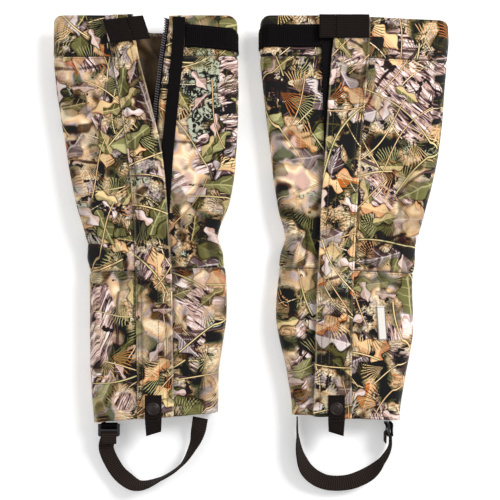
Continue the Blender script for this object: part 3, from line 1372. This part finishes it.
strapLengths = {}
for side, tube in tubes.items():
    centre, spin, turn = lockMount(side)
    fixed = spin @ Vector((1, 0, 0))
    wrap = barClearance + strapThickness / 2
    # its tail on the lock, then round the last bar
    tailBack = Vector((0, -2 * lockPitch - strapTail, wrap))
    frames = [(centre + spin @ (tailBack + Vector((0, strapTail * i / 4, 0))), fixed) for i in range(4)]
    for i in range(13):
        angle = math.pi * (0.5 - i / 12)
        turned = Vector((0, -2 * lockPitch + wrap * math.cos(angle), wrap * math.sin(angle)))
        frames.append((centre + spin @ turned, fixed))
    route = [frames[-1][0]] + [Vector(entry[:3]) for entry in straps[side]["route"]]
    twists = [turn] + [entry[3] for entry in straps[side]["route"]]
    previous = fixed
    steps = 110
    for i in range(1, steps + 1):
        t = i / steps
        point = splinePoint(route, t)
        tangent = (splinePoint(route, min(1, t + 0.004)) - splinePoint(route, max(0, t - 0.004))).normalized()
        level = Vector((-tangent.y, tangent.x, 0)).normalized()
        place = t * (len(twists) - 1)
        knot = min(len(twists) - 2, int(place))
        share = place - knot
        angle = math.radians(twists[knot] + (twists[knot + 1] - twists[knot]) * share)
        across = level * math.cos(angle) + Vector((0, 0, -math.sin(angle)))
        across = (across - tangent * across.dot(tangent)).normalized()
        if across.dot(previous) < 0:
            across.negate()
        frames.append((point, across))
        previous = across
    length = 0.0
    web = []
    for k, (point, across) in enumerate(frames):
        if k:
            length += (point - frames[k - 1][0]).length
        tangent = (frames[min(k + 1, len(frames) - 1)][0] - frames[max(k - 1, 0)][0]).normalized()
        normal = tangent.cross(across).normalized()

        def strapPlace(offset):
            # the face, thinner at its two edges
            edge = abs(offset) / (strapWidth / 2)
            return point + across * offset + normal * (strapThickness / 2 - 0.25 * edge ** 8)

        web.append(webRow(tube, 12, strapWidth, length, strapPlace))
    strapLengths[side] = length
    middle = len(frames) // 2
    facing = (frames[middle + 1][0] - frames[middle - 1][0]).normalized().cross(frames[middle][1])
    strap, _ = webPiece(tube, f"{side}_strapWeb", web, facing, strapThickness, [f"{side}_stirrup_strap"],
                        strapWebbing)
print("strap lengths", strapLengths)


# hardware

def selectFaces(piece, test):
    # marks the faces whose centre and normal pass a test, ready for edit mode
    mesh = piece.data
    bpy.ops.object.mode_set(mode="OBJECT")
    mesh.vertices.foreach_set("select", [False] * len(mesh.vertices))
    mesh.edges.foreach_set("select", [False] * len(mesh.edges))
    for polygon in mesh.polygons:
        polygon.select = test(polygon.center, polygon.normal)
    bpy.ops.object.mode_set(mode="EDIT")
    bpy.ops.mesh.select_mode(type="FACE")


# how wide each hard node's edges are rounded
edgeWidths = {"snap_socket": 0.00025, "snap_stud": 0.00015, "lace_hook": 0.0003, "zip_slider": 0.0002,
              "zip_pull": 0.0002, "zip_bottom_stop": 0.0003, "ladder_lock": 0.0006}
capSizes = {"radius": 0.0072, "foot": 0.0009, "ringRadius": 0.0071, "ring": 0.00042, "bevel": 0.00018}
capRings = ((0.0005, 0.0006), (0.0007, 0.0005), (0.0005, 0.0), (0.00035, -0.0004), (0.0004, 0.0),
            (0.00035, 0.0004), (0.0012, 0.0004), (0.0014, 0.0001))  # how far in, how far up


def snapCap(name):
    # a dome pressed in rings: a rolled rim, a channel and a low crown
    bpy.ops.object.select_all(action="DESELECT")
    top = capSizes["foot"]
    bpy.ops.mesh.primitive_cylinder_add(vertices=56, radius=capSizes["radius"], depth=top,
                                        location=(0, 0, top / 2))
    cap = bpy.context.object
    cap.name = name
    bpy.ops.object.transform_apply(location=True)
    for inset, rise in capRings:
        selectFaces(cap, lambda centre, normal: centre.z > top - 0.00001 and normal.z > 0.99 and
                    centre.xy.length < 0.0002)
        bpy.ops.mesh.inset(thickness=inset)
        bpy.ops.transform.translate(value=(0, 0, rise))
        bpy.ops.object.mode_set(mode="OBJECT")
        top += rise
    applyModifier(cap, "BEVEL", width=capSizes["bevel"], segments=3, limit_method="ANGLE",
                  angle_limit=math.radians(20))
    shadeSmooth(cap.data)
    bpy.ops.object.shade_smooth_by_angle(angle=math.radians(50))
    return cap


def rimRing(name, major, minor):
    bpy.ops.object.select_all(action="DESELECT")
    bpy.ops.mesh.primitive_torus_add(major_segments=64, minor_segments=14, major_radius=major, minor_radius=minor)
    ring = bpy.context.object
    ring.name = name
    shadeSmooth(ring.data)
    return ring


def moveMesh(piece, offset):
    piece.data.transform(Matrix.Translation(offset))
    piece.data.update()


for side, tube in tubes.items():
    low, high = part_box(f"{side}_snap_cap")
    centre = (low + high) / 2
    cap = snapCap(f"{side}_cap")
    moveMesh(cap, Vector((centre.x, centre.y, low.z - 0.0002)))
    dress(cap, "dark_metal", tube.body("flap"), [f"{side}_snap_cap"])
    ring = rimRing(f"{side}_capRim", capSizes["ringRadius"], capSizes["ring"])
    moveMesh(ring, Vector((centre.x, centre.y, low.z + 0.0003)))
    dress(ring, "dark_metal", tube.body("flap"))

    # the loop that holds the ladder lock, folded round its first bar
    mount, spin, _ = lockMount(side)
    radius = barClearance + loopThickness
    leg = [lockBar / 2 + 1 - 2.2 * i / 4 for i in range(4)]
    arc = [math.pi / 2 + math.pi * i / 12 for i in range(13)]
    profile = [(lockBar / 2 + 0.6, radius), *((y, radius) for y in leg[1:])]
    profile += [(radius * math.cos(angle), radius * math.sin(angle)) for angle in arc]
    profile += [(y, -radius) for y in leg[::-1]]
    web = []
    run = 0.0
    for index, (y, z) in enumerate(profile):
        if index:
            run += math.hypot(y - profile[index - 1][0], z - profile[index - 1][1])
        web.append(webRow(tube, 10, strapWidth, run, lambda across: mount + spin @ Vector((across, y, z))))
    loop, _ = webPiece(tube, f"{side}_lockLoop", web, spin @ Vector((0, -1, 0)), 1.0, [f"{side}_buckle_loop"])

    # the webbing that backs the lock's slots
    web = []
    for i in range(10):
        y, z = 1.5 - (2 * lockPitch + 2.5) * i / 9, -radius - 0.8 - 0.2 * math.sin(i)
        web.append(webRow(tube, 8, strapWidth + 2, y, lambda across: mount + spin @ Vector((across, y, z))))
    backing, rows = webPiece(tube, f"{side}_lockBacking", web, spin @ Vector((0, 0, 1)), 0.9)
    declareSheet(rows, strapWidth)

    for word, width in edgeWidths.items():
        node = nodes[f"{side}_{word}"]
        node.data.materials.clear()
        node.data.materials.append(materials["black_plastic" if word == "ladder_lock" else "dark_metal"])
        bevel = node.modifiers.new("edges", "BEVEL")
        bevel.width = width
        bevel.segments = 3
        bevel.limit_method = "ANGLE"
        bevel.angle_limit = math.radians(35)
        bevel.harden_normals = True
print("hardware in")


# stitched seams on the shell

for side, tube in tubes.items():
    def around(h, low, high):
        # a stitched line across the front at one height
        xs = [low + (high - low) * i / 60 for i in range(61)]
        return stitchRow([tube.place(x, h, tube.frontZ(x, h)) for x in xs], [up] * 60)

    rows = []
    for h in (cuffSeam - 2.2, ankleLow - 2.2, ankleHigh, 3.5, 11.5, cuffTop - 3):
        rows.append(around(h, tube.outerEdge(h) + 9, tube.flapSewn(h) - 1))
        rows.append(around(h, max(tube.flapFree(h), tube.stripRight(h)) + 1, tube.innerEdge(h) - 9))
    rows += [frontStitches(tube, lambda h: tube.frontLine(sign, h) + sign * 1.8, 30, cuffTop - 4, tube.frontZ)
             for sign in (-1, 1)]
    sewOn(f"{side}_seamStitches", rows, tube.body())

    # down the back seam, and across the ends of the panels
    backRows = []
    for name in ("lower_panel_outer", "upper_panel_outer", "lower_panel_inner", "upper_panel_inner"):
        grid = panelRows[f"{side}_{name}"]
        for line in ([row[-2] for row in grid], grid[1][-24:], grid[-2][-24:]):
            path = [point + Vector((0, 0, -0.0001)) for point in line]
            backRows.append(stitchRow(path, [-up] * len(path)))
    sewOn(f"{side}_backStitches", backRows, tube.body())

    stripRows = [frontStitches(tube, line, 30, cuffTop - 4, lambda x, h: 25.75)
                 for line in (lambda h: tube.stripLeft(h) + 1.3, lambda h: tube.stripRight(h) - 1.3)]
    sewOn(f"{side}_loopStitches", stripRows, tube.body(), darkThread)
print("stitches in")


# camera, floor and light

stage = {"lens": 85, "sensor": 36, "across": 0.55, "aim": (-0.0011, 0.0029), "floor": -0.0006, "sky": 0.5}
lamps = {
    "keyLight": {"place": (1.5, 1.0, 1.3), "size": 0.8, "power": 44},
    "fillLight": {"place": (-1.5, 0.4, 1.8), "size": 1.6, "power": 12},
}
camera = bpy.data.objects.new("camera", bpy.data.cameras.new("camera"))
scene.collection.objects.link(camera)
camera.data.lens = stage["lens"]
camera.data.sensor_width = stage["sensor"]
camera.location = (*stage["aim"], front / 1000 + stage["across"] * stage["lens"] / stage["sensor"])
scene.camera = camera

floorMaterial = Shader("paleFloor")
floorMaterial.finish((0.93, 0.93, 0.93, 1.0), 0.8, **{"Emission Color": (1, 1, 1, 1), "Emission Strength": 0.22})
bpy.ops.object.select_all(action="DESELECT")
bpy.ops.mesh.primitive_plane_add(size=8, location=(0, 0, stage["floor"]))
floor = bpy.context.object
floor.name = "floor"
floor.data.materials.append(floorMaterial.material)

scene.world = bpy.data.worlds.new("studio")
scene.world.use_nodes = True
sky = scene.world.node_tree.nodes["Background"]
sky.inputs[0].default_value = (1.0, 1.0, 1.0, 1.0)
sky.inputs[1].default_value = stage["sky"]
for name, lamp in lamps.items():
    light = bpy.data.objects.new(name, bpy.data.lights.new(name, "AREA"))
    scene.collection.objects.link(light)
    light.data.size = lamp["size"]
    light.data.energy = lamp["power"]
    light.location = lamp["place"]
    light.rotation_euler = (-Vector(lamp["place"])).to_track_quat("-Z", "Y").to_euler()
scene.view_settings.view_transform = "Standard"
print("stage set")
